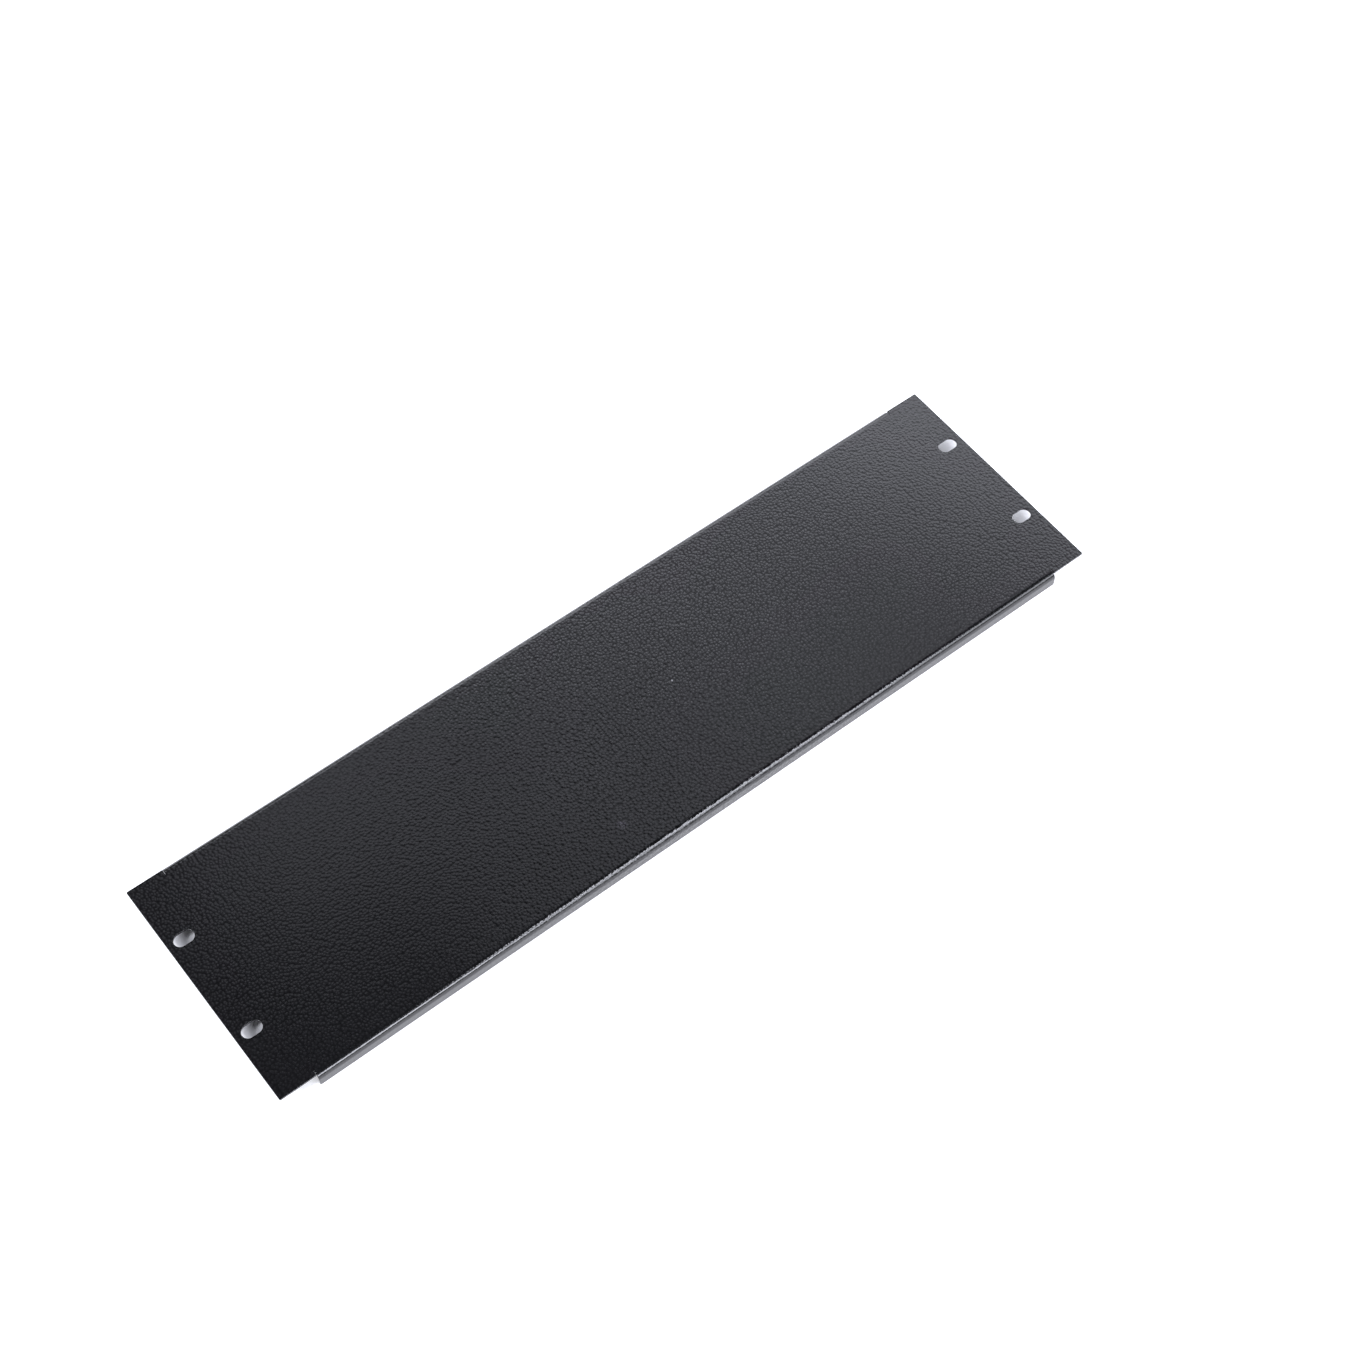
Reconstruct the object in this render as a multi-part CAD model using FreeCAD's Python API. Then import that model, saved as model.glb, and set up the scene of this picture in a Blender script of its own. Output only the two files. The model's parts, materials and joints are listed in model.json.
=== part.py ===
import FreeCAD, Part
import math
import os

# Rack blanking panel for a 19-inch rack, three units high: one steel sheet, laser cut to a flat
# blank, with both long edges folded back into flanges. It lies face up on its two flanges.
# Millimetres. X runs along the panel, Y across it and Z up out of the front face. The origin is
# midway between the flanges, level with their free edges.

# ---- sheet and overall sizes ----
panelLength = 482.6       # across the rack, over the two ears
panelHeight = 132.5       # over the outer faces of the two flanges
sheetThickness = 1.2
flangeDepth = 8.8         # from the front face to the free edge of a flange

# ---- fold along each long edge ----
bendInnerRadius = 2.5
flangeSetback = 19.6      # from the end of the panel to the end of a flange
earEdgeInset = 1.4        # how far the ears' long edges lie inside the flanges' outer faces
reliefWidth = 0.4         # saw-thin cut that frees each end of a flange from the ear
reliefDepth = 0.3         # how far that cut runs into the flat web, past the start of the bend

# ---- fixing slots in the ears ----
slotLength = 10.3         # end to end, along the panel
slotWidth = 6.8
slotSpacingX = 465.1      # between slot centres, along the panel
slotSpacingY = 57.15      # between slot centres, across it

# ---- corners and edges ----
earCornerRadius = 0.6     # corners of the ears, seen from the front
flangeCornerRadius = 0.6  # free corners of the flanges, seen from the side
edgeBreak = 0.2           # edges broken before coating, all round

# ---- places that follow ----
bendOuterRadius = bendInnerRadius + sheetThickness
faceZ = flangeDepth
backZ = faceZ - sheetThickness
bendStartY = panelHeight / 2 - bendOuterRadius
bendAxisZ = faceZ - bendOuterRadius
earEdgeY = panelHeight / 2 - earEdgeInset
flangeEndX = panelLength / 2 - flangeSetback
earStartX = flangeEndX + reliefWidth

sharpAngle = math.radians(20)  # faces that meet at less than this count as one smooth surface
touch = 1e-4


def vec(x, y, z=0.0):
    return FreeCAD.Vector(x, y, z)


def bothSides(shape, normal):
    return [shape, shape.mirror(vec(0, 0, 0), normal)]


def frontPlate(length, height):
    # flat plate at the front face, centred on the panel
    return Part.makeBox(length, height, sheetThickness, vec(-length / 2, -height / 2, backZ))


def throughBox(length, height, x, y):
    # cutting block with its lower left corner at x, y, tall enough to clear the plate both ways
    return Part.makeBox(length, height, 3 * sheetThickness, vec(x, y, backZ - sheetThickness))


def throughPost(radius, x, y):
    return Part.makeCylinder(radius, 3 * sheetThickness, vec(x, y, backZ - sheetThickness))


def flatBlank():
    # web as wide as the flat between the two bends, carried on past their ends into the ears
    web = frontPlate(2 * earStartX, 2 * bendStartY)
    ears = frontPlate(panelLength, 2 * earEdgeY)
    gap = throughBox(2 * earStartX, panelHeight, -earStartX, bendStartY)
    ears = ears.cut(bothSides(gap, vec(0, 1, 0)))
    return ears.fuse(web).removeSplitter()


def foldedEdge():
    # bend and flange in one profile, drawn across the panel and run along it
    half = math.sqrt(0.5)
    outerY = bendStartY + bendOuterRadius
    innerY = bendStartY + bendInnerRadius

    def at(y, z):
        return vec(-flangeEndX, y, z)

    def onBend(radius):
        return at(bendStartY + radius * half, bendAxisZ + radius * half)

    outline = [
        Part.Arc(at(bendStartY, faceZ), onBend(bendOuterRadius), at(outerY, bendAxisZ)),
        Part.LineSegment(at(outerY, bendAxisZ), at(outerY, 0)),
        Part.LineSegment(at(outerY, 0), at(innerY, 0)),
        Part.LineSegment(at(innerY, 0), at(innerY, bendAxisZ)),
        Part.Arc(at(innerY, bendAxisZ), onBend(bendInnerRadius), at(bendStartY, backZ)),
        Part.LineSegment(at(bendStartY, backZ), at(bendStartY, faceZ)),
    ]
    profile = Part.Face(Part.Wire([piece.toShape() for piece in outline]))
    return profile.extrude(vec(2 * flangeEndX, 0, 0))


def reliefCut():
    # round-ended slit between the end of a flange and the ear, open at the long edge
    radius = reliefWidth / 2
    tipY = bendStartY - reliefDepth + radius
    slit = throughBox(reliefWidth, panelHeight, flangeEndX, tipY)
    return slit.fuse(throughPost(radius, flangeEndX + radius, tipY))


def fixingSlot(x, y):
    # obround hole through an ear, long way along the panel
    radius = slotWidth / 2
    reach = (slotLength - slotWidth) / 2
    middle = throughBox(2 * reach, slotWidth, x - reach, y - radius)
    ends = [throughPost(radius, x + side * reach, y) for side in (-1, 1)]
    return middle.fuse(ends)


def straightEdges(shape, direction):
    # straight edges that run along a direction and cross one thickness of the sheet
    found = []
    for edge in shape.Edges:
        if len(edge.Vertexes) == 2 and abs(edge.Length - sheetThickness) < touch:
            run = edge.Vertexes[1].Point - edge.Vertexes[0].Point
            if abs(abs(run.dot(direction)) - sheetThickness) < touch:
                found.append(edge)
    return found


def roundCorners(sheet):
    # corners of the cut outline: those of the ears stand up, those of the flanges lie across
    upright = [edge for edge in straightEdges(sheet, vec(0, 0, 1))
               if abs(abs(edge.CenterOfMass.y) - earEdgeY) < touch]
    sheet = sheet.makeFillet(earCornerRadius, upright)
    across = [edge for edge in straightEdges(sheet, vec(0, 1, 0)) if abs(edge.CenterOfMass.z) < touch]
    return sheet.makeFillet(flangeCornerRadius, across)


def normalAt(face, point):
    u, v = face.Surface.parameter(point)
    return face.normalAt(u, v)


def isSharp(sheet, edge):
    first, second = sheet.ancestorsOfType(edge, Part.Face)
    point = edge.valueAt((edge.FirstParameter + edge.LastParameter) / 2)
    return normalAt(first, point).getAngle(normalAt(second, point)) > sharpAngle


def breakEdges(sheet):
    # every edge left sharp by the cutting gets a small chamfer, round the slots and reliefs too
    return sheet.makeChamfer(edgeBreak, [edge for edge in sheet.Edges if isSharp(sheet, edge)])


def blankingPanel():
    sheet = flatBlank().fuse(bothSides(foldedEdge(), vec(0, 1, 0))).removeSplitter()
    for slit in bothSides(reliefCut(), vec(1, 0, 0)):
        sheet = sheet.cut(bothSides(slit, vec(0, 1, 0)))
    for side in (-1, 1):
        for level in (-1, 1):
            sheet = sheet.cut(fixingSlot(side * slotSpacingX / 2, level * slotSpacingY / 2))
    return breakEdges(roundCorners(sheet.removeSplitter()))


panel = blankingPanel()
os.makedirs("parts", exist_ok=True)
panel.exportStep("parts/blanking_panel.step")
print("blanking_panel: solids", len(panel.Solids), "valid", panel.isValid(), "faces", len(panel.Faces),
      "volume", round(panel.Volume, 1))
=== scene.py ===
import bmesh
import bpy
import json
import math
from mathutils import Matrix, Vector


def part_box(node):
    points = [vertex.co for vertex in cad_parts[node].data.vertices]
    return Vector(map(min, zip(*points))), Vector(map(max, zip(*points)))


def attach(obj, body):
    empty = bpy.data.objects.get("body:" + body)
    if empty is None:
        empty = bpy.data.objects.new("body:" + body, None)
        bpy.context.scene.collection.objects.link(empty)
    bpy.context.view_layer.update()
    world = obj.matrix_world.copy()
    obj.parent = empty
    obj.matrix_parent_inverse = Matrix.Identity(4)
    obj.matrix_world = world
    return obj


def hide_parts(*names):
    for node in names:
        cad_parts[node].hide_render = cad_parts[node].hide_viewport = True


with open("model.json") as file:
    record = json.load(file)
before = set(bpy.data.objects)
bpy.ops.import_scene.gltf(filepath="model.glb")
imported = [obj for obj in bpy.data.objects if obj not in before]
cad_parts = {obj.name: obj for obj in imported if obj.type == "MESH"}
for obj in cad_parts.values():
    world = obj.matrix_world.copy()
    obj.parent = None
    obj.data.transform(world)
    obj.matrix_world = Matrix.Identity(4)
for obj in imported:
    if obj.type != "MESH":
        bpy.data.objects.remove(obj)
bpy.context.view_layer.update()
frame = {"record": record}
millimetre = 0.001
print("frame loaded")


# the panel is made as a flat blank with rounded edges and then folded; lengths in millimetres, and
# the overall size and the slots come from the frame
panel = {
    "node": "blanking_panel",
    "slot": "black_powder_coat",
    "sheetThickness": 1.2,
    "bendInnerRadius": 2.5,
    "flangeSetback": 19.6,  # from the end of the panel to the end of a flange
    "earEdgeInset": 1.4,  # how far the ears' long edges lie inside the flanges' faces
    "reliefWidth": 0.12,  # the cut at each end of a flange; at the part's 0.4 bright floor shows through
    "reliefDepth": 0.3,  # how far that cut runs into the face past the start of the bend
    "earCornerRadius": 0.6,
    "flangeCornerRadius": 0.6,
    "edgeRound": 0.2,
    "edgeSteps": 4,
    "bendSteps": 18,
    "cornerSteps": 10,
    "slotSteps": 48,
    "weldDistance": 1e-4,
    "normalWeight": 100,  # how much large faces outweigh small ones in the smooth shading
}


def panelSizes():
    # what follows from the frame and the values above
    low, high = (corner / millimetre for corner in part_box(panel["node"]))
    slots = next(m for m in frame["record"]["mounts"] if m["name"] == "rack_slots")["dims"]
    outer = panel["bendInnerRadius"] + panel["sheetThickness"]
    flangeEnd = high.x - panel["flangeSetback"]
    return {
        "halfLength": high.x,
        "faceZ": high.z,
        "bendOuter": outer,
        "bendStart": high.y - outer,
        "bendLength": outer * math.pi / 2,
        "flangeStraight": high.z - outer - low.z,
        "flangeEnd": flangeEnd,
        "earStart": flangeEnd + panel["reliefWidth"],
        "earEdge": high.y - panel["earEdgeInset"],
        "slotX": slots["spacing_x_mm"] / 2,
        "slotY": slots["spacing_y_mm"] / 2,
        "slotRadius": slots["hole_r_mm"],
        "slotReach": slots["slot_length_mm"] / 2 - slots["hole_r_mm"],
    }


sizes = panelSizes()


def arc(centre, radius, start, turn, steps):
    # points round a centre, angles in degrees
    angles = (math.radians(start + turn * i / steps) for i in range(steps + 1))
    return [(centre[0] + radius * math.cos(a), centre[1] + radius * math.sin(a)) for a in angles]


def blankOutline(inset):
    # one quarter of the outline, from the ear's end round the relief cut to the flange's end, drawn
    # inset by the edge rounding, then mirrored to the other three quarters
    steps = panel["cornerSteps"]
    corner = panel["earCornerRadius"] - inset
    flangeCorner = panel["flangeCornerRadius"] - inset
    slit = panel["reliefWidth"] / 2 + inset
    foldEnd = sizes["bendStart"] + sizes["bendLength"] + sizes["flangeStraight"] - inset
    flangeX = sizes["flangeEnd"] - inset
    earX = sizes["earStart"] + inset
    slitTop = sizes["bendStart"] - panel["reliefDepth"] + panel["reliefWidth"] / 2
    edgeY = sizes["earEdge"] - inset
    endX = sizes["halfLength"] - inset
    quarter = arc((endX - corner, edgeY - corner), corner, 0, 90, steps)
    quarter += arc((earX + corner, edgeY - corner), corner, 90, 90, steps)
    quarter += arc(((flangeX + earX) / 2, slitTop), slit, 0, -180, 2 * steps)
    quarter += arc((flangeX - flangeCorner, foldEnd - flangeCorner), flangeCorner, 0, 90, steps)
    half = quarter + [(-x, y) for x, y in reversed(quarter)]
    return half + [(-x, -y) for x, y in half]


def slotOutline(x, y, grow):
    radius = sizes["slotRadius"] + grow
    reach = sizes["slotReach"]
    steps = panel["slotSteps"]
    return arc((x + reach, y), radius, -90, 180, steps) + arc((x - reach, y), radius, 90, 180, steps)


def flatBlank():
    # a filled 2D curve gives the sheet its thickness, its holes and its rounded edges at once
    rounding = panel["edgeRound"]
    curve = bpy.data.curves.new("blank", "CURVE")
    curve.dimensions = "2D"
    curve.fill_mode = "BOTH"
    curve.extrude = panel["sheetThickness"] / 2 - rounding
    curve.bevel_depth = rounding
    curve.bevel_resolution = panel["edgeSteps"]
    loops = [blankOutline(rounding)]
    loops += [slotOutline(x * sizes["slotX"], y * sizes["slotY"], rounding)
              for x in (-1, 1) for y in (-1, 1)]
    for loop in loops:
        spline = curve.splines.new("POLY")
        spline.points.add(len(loop) - 1)
        spline.use_cyclic_u = True
        for point, (x, y) in zip(spline.points, loop):
            point.co = (x, y, 0, 1)
    source = bpy.data.objects.new("blank", curve)
    mesh = bpy.data.meshes.new_from_object(source)
    bpy.data.objects.remove(source)
    return mesh


def foldedPoint(point):
    # wraps what lies past the bend line round the bend, then straight down the flange
    side = math.copysign(1, point.y)
    past = abs(point.y) - sizes["bendStart"]
    depth = sizes["faceZ"] - point.z
    onFlange = abs(point.x) < (sizes["flangeEnd"] + sizes["earStart"]) / 2
    if past <= 0 or not onFlange:
        return point
    turn = min(past / sizes["bendLength"], 1) * math.pi / 2
    down = max(past - sizes["bendLength"], 0)
    radius = sizes["bendOuter"] - depth
    y = sizes["bendStart"] + radius * math.sin(turn)
    z = sizes["faceZ"] - sizes["bendOuter"] + radius * math.cos(turn) - down
    return Vector((point.x, side * y, z))


def foldedPanel():
    # cuts rows of points across the blank where it bends, then folds it
    mesh = flatBlank()
    work = bmesh.new()
    work.from_mesh(mesh)
    bmesh.ops.remove_doubles(work, verts=work.verts, dist=panel["weldDistance"])
    for side in (-1, 1):
        for step in range(panel["bendSteps"] + 1):
            line = side * (sizes["bendStart"] + sizes["bendLength"] * step / panel["bendSteps"])
            everything = work.verts[:] + work.edges[:] + work.faces[:]
            bmesh.ops.bisect_plane(work, geom=everything, dist=panel["weldDistance"],
                                   plane_co=(0, line, 0), plane_no=(0, 1, 0))
    for vertex in work.verts:
        vertex.co.z += sizes["faceZ"] - panel["sheetThickness"] / 2
    for vertex in work.verts:
        vertex.co = foldedPoint(vertex.co)
    bmesh.ops.recalc_face_normals(work, faces=work.faces)
    for face in work.faces:
        face.smooth = True
    work.to_mesh(mesh)
    work.free()
    mesh.transform(Matrix.Scale(millimetre, 4))
    piece = bpy.data.objects.new("panel", mesh)
    bpy.context.scene.collection.objects.link(piece)
    normals = piece.modifiers.new("normals", "WEIGHTED_NORMAL")
    normals.weight = panel["normalWeight"]
    return piece


sheet = foldedPanel()
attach(sheet, "root")
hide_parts(panel["node"])
print("panel folded", len(sheet.data.vertices), "points")


class Wire:
    # one socket of a material's nodes, so that shading is written as plain sums
    def __init__(self, tree, socket=None):
        self.tree = tree
        self.socket = socket

    def add(self, kind, settings=None, sockets=None, out=0):
        # a new node: its settings first, then the values or wires of its sockets
        node = self.tree.nodes.new("ShaderNode" + kind)
        for name, value in (settings or {}).items():
            setattr(node, name, value)
        for name, value in (sockets or {}).items():
            if isinstance(value, Wire):
                self.tree.links.new(value.socket, node.inputs[name])
            else:
                node.inputs[name].default_value = value
        return Wire(self.tree, node.outputs[out]) if node.outputs else None

    def maths(self, operation, other=0):
        return self.add("Math", {"operation": operation}, {0: self, 1: other})

    def __add__(self, other):
        return self.maths("ADD", other)

    def __radd__(self, other):
        return self.maths("ADD", other)

    def __sub__(self, other):
        return self.maths("SUBTRACT", other)

    def __rsub__(self, other):
        return self.add("Math", {"operation": "SUBTRACT"}, {0: other, 1: self})

    def __mul__(self, other):
        return self.maths("MULTIPLY", other)

    def __rmul__(self, other):
        return self.maths("MULTIPLY", other)

    def axis(self, letter):
        return self.add("SeparateXYZ", {}, {"Vector": self}, out=letter)

    def ramp(self, low, high):
        # 0 below low, 1 above high, smooth in between
        return self.add("MapRange", {"interpolation_type": "SMOOTHSTEP"},
                        {"Value": self, "From Min": low, "From Max": high})

    def noise(self, perMetre, detail, roughness=0.5):
        return self.add("TexNoise", {}, {"Vector": self, "Scale": perMetre, "Detail": detail,
                                         "Roughness": roughness})

    def between(self, first, second):
        # this wire as a mask from one colour to another
        return self.add("Mix", {"data_type": "RGBA"}, {"Factor": self, "A": first, "B": second},
                        out="Result")


# the powder coat: lengths in metres, and spacings as how many there are to a metre
coat = {
    # hollow and ridge colours: the coat's own near-black, painted darker in the hollows and paler on the
    # ridges as painted shade and light of the grain
    "hollowColour": (0.0034, 0.0034, 0.0037, 1),
    "ridgeColour": (0.0114, 0.0114, 0.0123, 1),
    "ridgeBand": (0.45, 0.75),  # heights of the grain between which a hollow turns into a ridge
    "mottleColour": (0.0090, 0.0090, 0.0098, 1),
    "mottleAmount": 0.3,
    "mottleBand": (0.35, 0.65),
    "mottlesPerMetre": 35,
    "roughness": 0.14,
    "mottleGloss": 0.05,
    "grainGloss": 0.04,
    "specular": 0.62,
    "ridgeShine": 0.54,
    "shineRoughness": 0.14,
    "pebblesPerMetre": 640,
    "pebbleScatter": 0.9,
    "wrinklesPerPebble": 1.3,
    "wrinkleShare": 0.5,
    "grainHeight": 0.000125,
    "endsStart": 0.03,  # from the middle of the panel, where the grain starts to ease off
    "endsFull": 0.17,
    "endEase": 0.48,  # share of the grain that is gone at the ends, and on the bends
    "bendEase": 0.34,
    "bendBand": (0.0001, 0.0008),  # depths below the face over which the bend's share comes in
    "ripplesPerMetre": 60,
    "rippleHeight": 0.000012,
    "speckPlace": (0.0300, 0.0020, 0.0088),
    "speckRadius": 0.0006,
    "speckColour": (0.30, 0.30, 0.31, 1),
    "speckDulling": 0.2,
    "scuffPlace": (-0.0380, -0.0470, 0.0088),
    "scuffRadius": 0.0030,
    "scuffColour": (0.050, 0.046, 0.056, 1),
    "scuffDulling": 0.03,
    "scuffBand": (0.45, 0.6),  # only the higher wrinkles are scuffed
    "spotCore": 0.4,  # share of a spot's radius that has its full strength
}


def spot(place, centre, radius):
    # 1 at a place on the surface, falling to 0 at the radius
    apart = place.add("VectorMath", {"operation": "DISTANCE"}, {0: place, 1: centre}, out="Value")
    return 1 - apart.ramp(radius * coat["spotCore"], radius)


def powderCoat():
    material = bpy.data.materials.new("blackPowderCoat")
    material.use_nodes = True
    material.node_tree.nodes.clear()
    wire = Wire(material.node_tree)
    place = wire.add("TexCoord", out="Object")

    # the grain runs round the bends and down the flanges as it does on the flat blank
    along = place.axis("X")
    spread = place.axis("Y")
    drop = place.axis("Z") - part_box(panel["node"])[1].z
    blank = wire.add("CombineXYZ", {}, {"X": along, "Y": spread - drop * spread.maths("SIGN")})

    # fine leather grain: pebbles with narrow valleys between them, and smaller wrinkles
    pebbles = wire.add("TexVoronoi", {"voronoi_dimensions": "2D", "feature": "F1"},
                       {"Vector": blank, "Scale": coat["pebblesPerMetre"],
                        "Randomness": coat["pebbleScatter"]}, out="Distance")
    wrinkles = blank.noise(coat["pebblesPerMetre"] * coat["wrinklesPerPebble"], detail=1)
    grain = 1 - pebbles + (wrinkles - 0.5) * coat["wrinkleShare"]

    # eased off towards the ends and on the bends, where a render shows the same grain too strongly;
    # the real coat isn't known to be flatter there
    ends = along.maths("ABSOLUTE").ramp(coat["endsStart"], coat["endsFull"])
    bent = (drop * -1).ramp(*coat["bendBand"])
    relief = 1 - ends * coat["endEase"] - bent * coat["bendEase"]
    ripple = place.noise(coat["ripplesPerMetre"], detail=2)  # a slow unevenness under the grain
    height = grain * relief * coat["grainHeight"] + ripple * coat["rippleHeight"]
    bump = wire.add("Bump", {}, {"Strength": 1.0, "Distance": 1.0, "Height": height})

    # ridges are painted paler than hollows, painted light and shade of the grain that keeps it through the
    # render's noise filter; ridges are also shinier, and the whole drifts a little
    ridges = (grain.ramp(*coat["ridgeBand"]) - 0.5) * relief + 0.5
    mottle = place.noise(coat["mottlesPerMetre"], detail=4, roughness=0.6)
    drift = mottle.ramp(*coat["mottleBand"]) * coat["mottleAmount"]
    speck = spot(place, coat["speckPlace"], coat["speckRadius"])
    scuff = spot(place, coat["scuffPlace"], coat["scuffRadius"]) * wrinkles.ramp(*coat["scuffBand"])
    # painted light and shade of the grain: ridges paler, hollows darker
    colour = ridges.between(coat["hollowColour"], coat["ridgeColour"])
    colour = drift.between(colour, coat["mottleColour"])
    colour = scuff.between(colour, coat["scuffColour"])
    colour = speck.between(colour, coat["speckColour"])
    gloss = coat["roughness"] + (mottle - 0.5) * coat["mottleGloss"] + (0.5 - wrinkles) * coat["grainGloss"]
    roughness = gloss + scuff * coat["scuffDulling"] + speck * coat["speckDulling"]

    shader = wire.add("BsdfPrincipled", {}, {
        "Base Color": colour, "Roughness": roughness, "Normal": bump,
        "Specular IOR Level": coat["specular"],
        "Coat Weight": ridges * coat["ridgeShine"], "Coat Roughness": coat["shineRoughness"]})
    wire.add("OutputMaterial", {}, {"Surface": shader})
    return material


sheet.data.materials.clear()
sheet.data.materials.append(powderCoat())
print("powder coat mixed")


# floor and backdrop, in metres; their glow shows to the camera, in reflections and through glass,
# and adds no light to matt surfaces
ground = {
    "size": 5.0,
    "floorColour": (0.9, 0.9, 0.9, 1),
    "wallColour": (0.15, 0.15, 0.15, 1),
    "wallHeight": 0.9,
    "wallSides": 64,
    "glowColour": (0.95, 0.96, 1.0, 1),
    "reflectedGlow": 0.55,  # how strongly both glow in reflections
    "floorGlow": 0.60,  # how strongly each of them glows for the camera
    "wallGlow": 0.90,
    "shadeCentre": (0.003, 0.003),  # painted shadow: patch under the panel that doesn't glow, so the lamps' shadow there and in the slots shows grey
    "shadeHalf": (0.2395, 0.0630),
    "shadeSoft": 0.0015,
}


def outsidePaintedShadow(place):
    # painted shadow: 0 on the floor under the panel, where the glow is left out, 1 outside it
    shift = place.add("VectorMath", {"operation": "SUBTRACT"}, {0: place, 1: (*ground["shadeCentre"], 0)})
    apart = place.add("VectorMath", {"operation": "ABSOLUTE"}, {0: shift})
    across = apart.axis("X") - ground["shadeHalf"][0]
    along = apart.axis("Y") - ground["shadeHalf"][1]
    return across.maths("MAXIMUM", along).ramp(-ground["shadeSoft"], ground["shadeSoft"])


def glowMaterial(name, paintColour, cameraGlow, withPaintedShadow):
    # matt paint, with the glow mixed in by the kind of ray that meets it
    material = bpy.data.materials.new(name)
    material.use_nodes = True
    material.cycles.emission_sampling = "NONE"
    material.node_tree.nodes.clear()
    wire = Wire(material.node_tree)
    mirrored = wire.add("LightPath", out="Is Glossy Ray")
    mirrored = mirrored + wire.add("LightPath", out="Is Transmission Ray")
    seen = wire.add("LightPath", out="Is Camera Ray") * cameraGlow + mirrored * ground["reflectedGlow"]
    # painted shadow: under the panel the glow is left out, so the floor keeps the lamps' own shadow there
    # as a grey patch
    if withPaintedShadow:
        seen = seen * outsidePaintedShadow(wire.add("TexCoord", out="Object"))
    paint = wire.add("BsdfDiffuse", {}, {"Color": paintColour})
    glow = wire.add("Emission", {}, {"Color": ground["glowColour"], "Strength": 1.0})
    both = wire.add("AddShader", {}, {0: paint, 1: glow})
    wire.add("OutputMaterial", {}, {"Surface": wire.add("MixShader", {}, {0: seen, 1: paint, 2: both})})
    return material


def stagePiece(name, corners, faces, material):
    mesh = bpy.data.meshes.new(name)
    mesh.from_pydata(corners, [], faces)
    mesh.materials.append(material)
    piece = bpy.data.objects.new(name, mesh)
    bpy.context.scene.collection.objects.link(piece)


def paleStage():
    # a flat floor, and a low round wall that closes the view from the side
    half = ground["size"] / 2
    stagePiece("floor", [(-half, -half, 0), (half, -half, 0), (half, half, 0), (-half, half, 0)],
               [(0, 1, 2, 3)],
               glowMaterial("paleFloor", ground["floorColour"], ground["floorGlow"], withPaintedShadow=True))
    sides = ground["wallSides"]
    turns = [2 * math.pi * i / sides for i in range(sides)]
    corners = [(half * math.sin(turn), half * math.cos(turn), z)
               for z in (0, ground["wallHeight"]) for turn in turns]
    faces = [(i, (i + 1) % sides, sides + (i + 1) % sides, sides + i) for i in range(sides)]
    stagePiece("backdrop", corners, faces,
               glowMaterial("paleWall", ground["wallColour"], ground["wallGlow"], withPaintedShadow=False))


paleStage()
print("floor and backdrop set")


# lamps: metres from the middle of the panel, how tall most of the boxes are, and the light's colour
studio = {
    "distance": 1.5,
    "boxHeight": 0.42,
    "tint": (0.96, 0.98, 1.08),
    "roomStrength": 0.005,
}

# each bank is a row of flat soft boxes: degrees round the panel from its lower long edge towards its
# right end, degrees above the floor, and how bright the boxes' faces are. They are balanced for the
# camera's view only: from behind and low down the black face mirrors them and looks silver
banks = {
    "leftKey": {"start": 268, "stop": 280, "boxes": 1, "elevation": 39, "brightness": 37.5, "height": 0.58},
    "frontKey": {"start": 12, "stop": 36, "boxes": 1, "elevation": 40, "brightness": 10.4},
    "frontCentre": {"start": -10, "stop": 10, "boxes": 1, "elevation": 24, "brightness": 10.8},
    "frontRight": {"start": 10, "stop": 90, "boxes": 4, "elevation": 24, "brightness": 4.25},
    "right": {"start": 90, "stop": 110, "boxes": 1, "elevation": 24, "brightness": 8.7},
    "backLow": {"start": 110, "stop": 170, "boxes": 3, "elevation": 24, "brightness": 2.5},
    "backHigh": {"start": 84, "stop": 180, "boxes": 4, "elevation": 40, "brightness": 2.07},
    "backTop": {"start": 82, "stop": 180, "boxes": 3, "elevation": 56, "brightness": 0.59},
    "overhead": {"start": 90, "stop": 150, "boxes": 1, "elevation": 72, "brightness": 0.37},
    "farLeft": {"start": 230, "stop": 250, "boxes": 1, "elevation": 24, "brightness": 3.7},
}


def direction(turn, rise):
    # unit vector out from the panel, turned round it from its lower long edge and raised
    return Vector((math.sin(turn) * math.cos(rise), -math.cos(turn) * math.cos(rise), math.sin(rise)))


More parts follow.
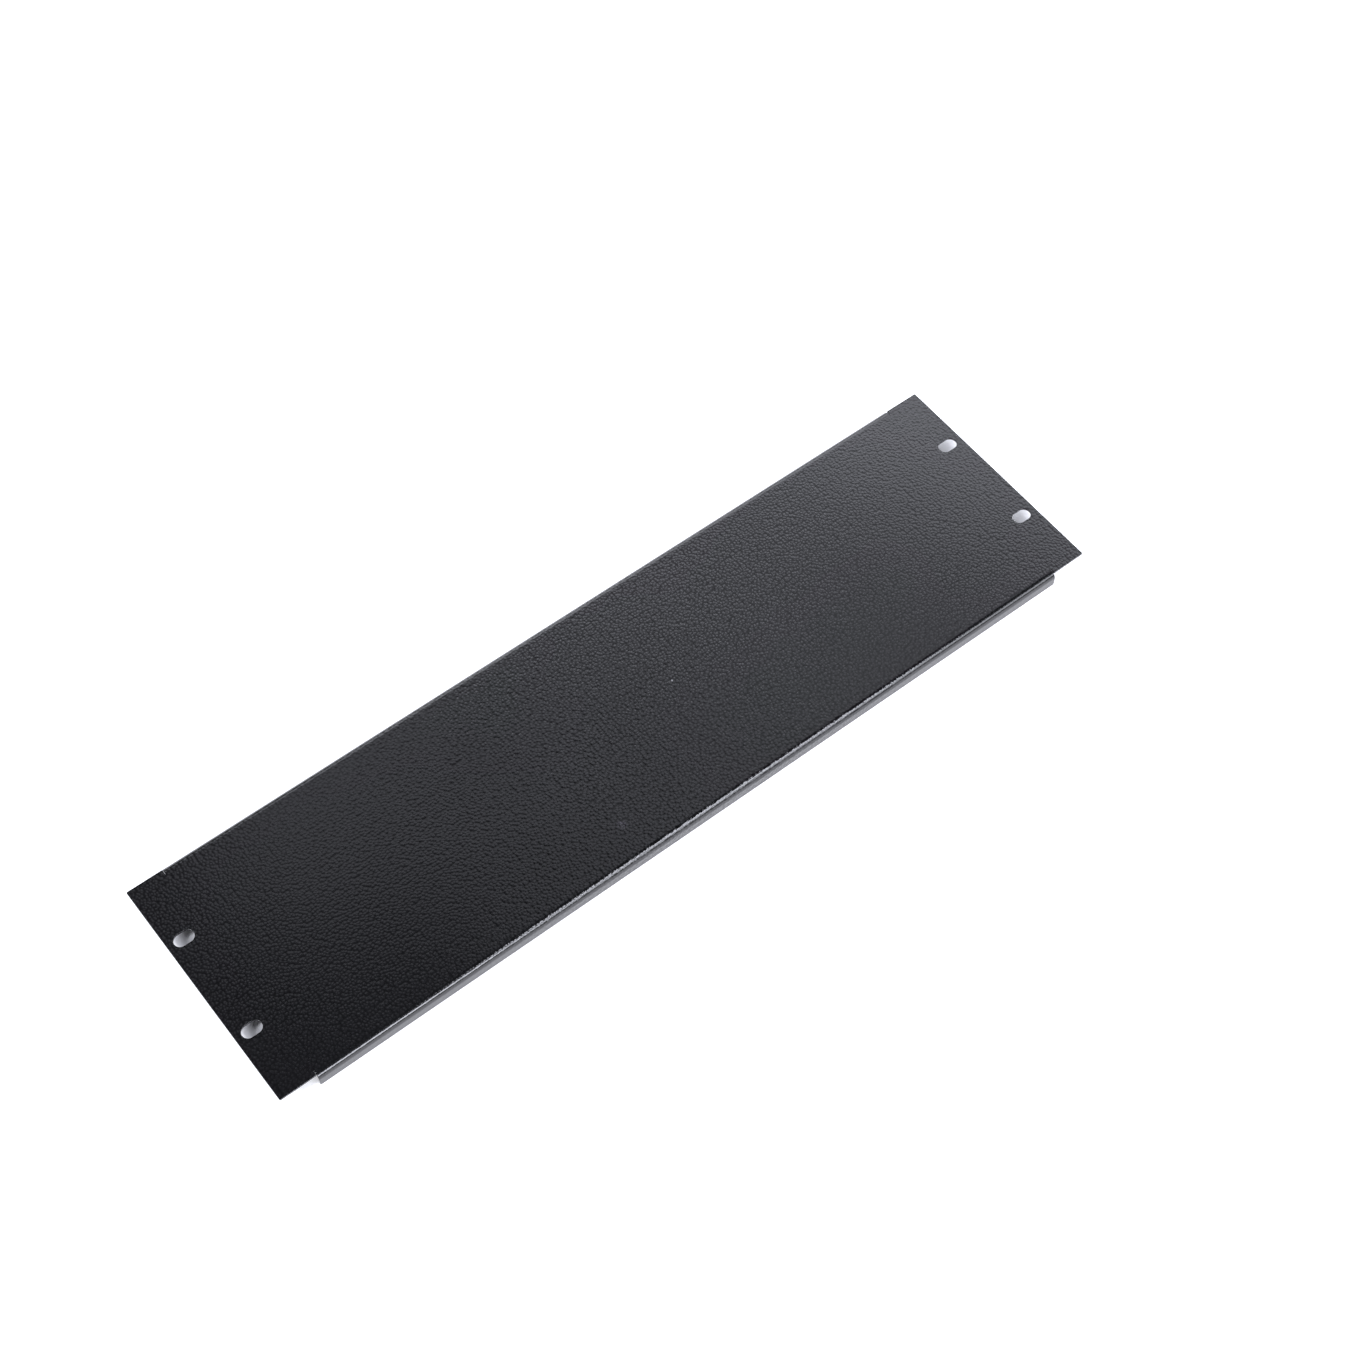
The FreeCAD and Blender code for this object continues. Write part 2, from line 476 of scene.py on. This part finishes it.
def softBank(name, bank):
    step = (bank["stop"] - bank["start"]) / bank["boxes"]
    rise = math.radians(bank["elevation"])
    width = math.radians(step) * studio["distance"] * math.cos(rise)
    for i in range(bank["boxes"]):
        back = direction(math.radians(bank["start"] + step * (i + 0.5)), rise)
        light = bpy.data.lights.new(name + str(i + 1), "AREA")
        light.shape = "RECTANGLE"
        light.size = width
        light.size_y = bank.get("height", studio["boxHeight"])
        light.color = studio["tint"]
        light.energy = bank["brightness"] * light.size * light.size_y * math.pi
        lamp = bpy.data.objects.new(light.name, light)
        lamp.location = back * studio["distance"]
        lamp.rotation_mode = "QUATERNION"
        lamp.rotation_quaternion = back.to_track_quat("Z", "Y")
        bpy.context.scene.collection.objects.link(lamp)


def dimRoom():
    world = bpy.data.worlds.new("dimRoom")
    world.use_nodes = True
    bpy.context.scene.world = world
    background = world.node_tree.nodes["Background"]
    background.inputs["Color"].default_value = (1, 1, 1, 1)
    background.inputs["Strength"].default_value = studio["roomStrength"]


for name, bank in banks.items():
    softBank(name, bank)
dimRoom()
print("lamps hung", len(bpy.data.lights))


# camera: metres and degrees, turned and raised as the lamps are
camera = {
    "aim": (0.0331, 0.0036, 0.0088),
    "distance": 1.2125,
    "azimuth": -38.714,
    "elevation": 57.701,
    "roll": 0.908,
    "lens": 66.07,  # millimetres
    "nearest": 0.01,
}


def placeCamera():
    back = direction(math.radians(camera["azimuth"]), math.radians(camera["elevation"]))
    data = bpy.data.cameras.new("camera")
    data.lens = camera["lens"]
    data.clip_start = camera["nearest"]
    eye = bpy.data.objects.new("camera", data)
    eye.location = Vector(camera["aim"]) + back * camera["distance"]
    level = (-back).to_track_quat("-Z", "Y").to_matrix()
    roll = Matrix.Rotation(math.radians(camera["roll"]), 3, "Z")
    eye.rotation_mode = "QUATERNION"
    eye.rotation_quaternion = (level @ roll).to_quaternion()
    bpy.context.scene.collection.objects.link(eye)
    bpy.context.scene.camera = eye


placeCamera()
bpy.context.scene.view_settings.view_transform = "Standard"
print("camera placed")
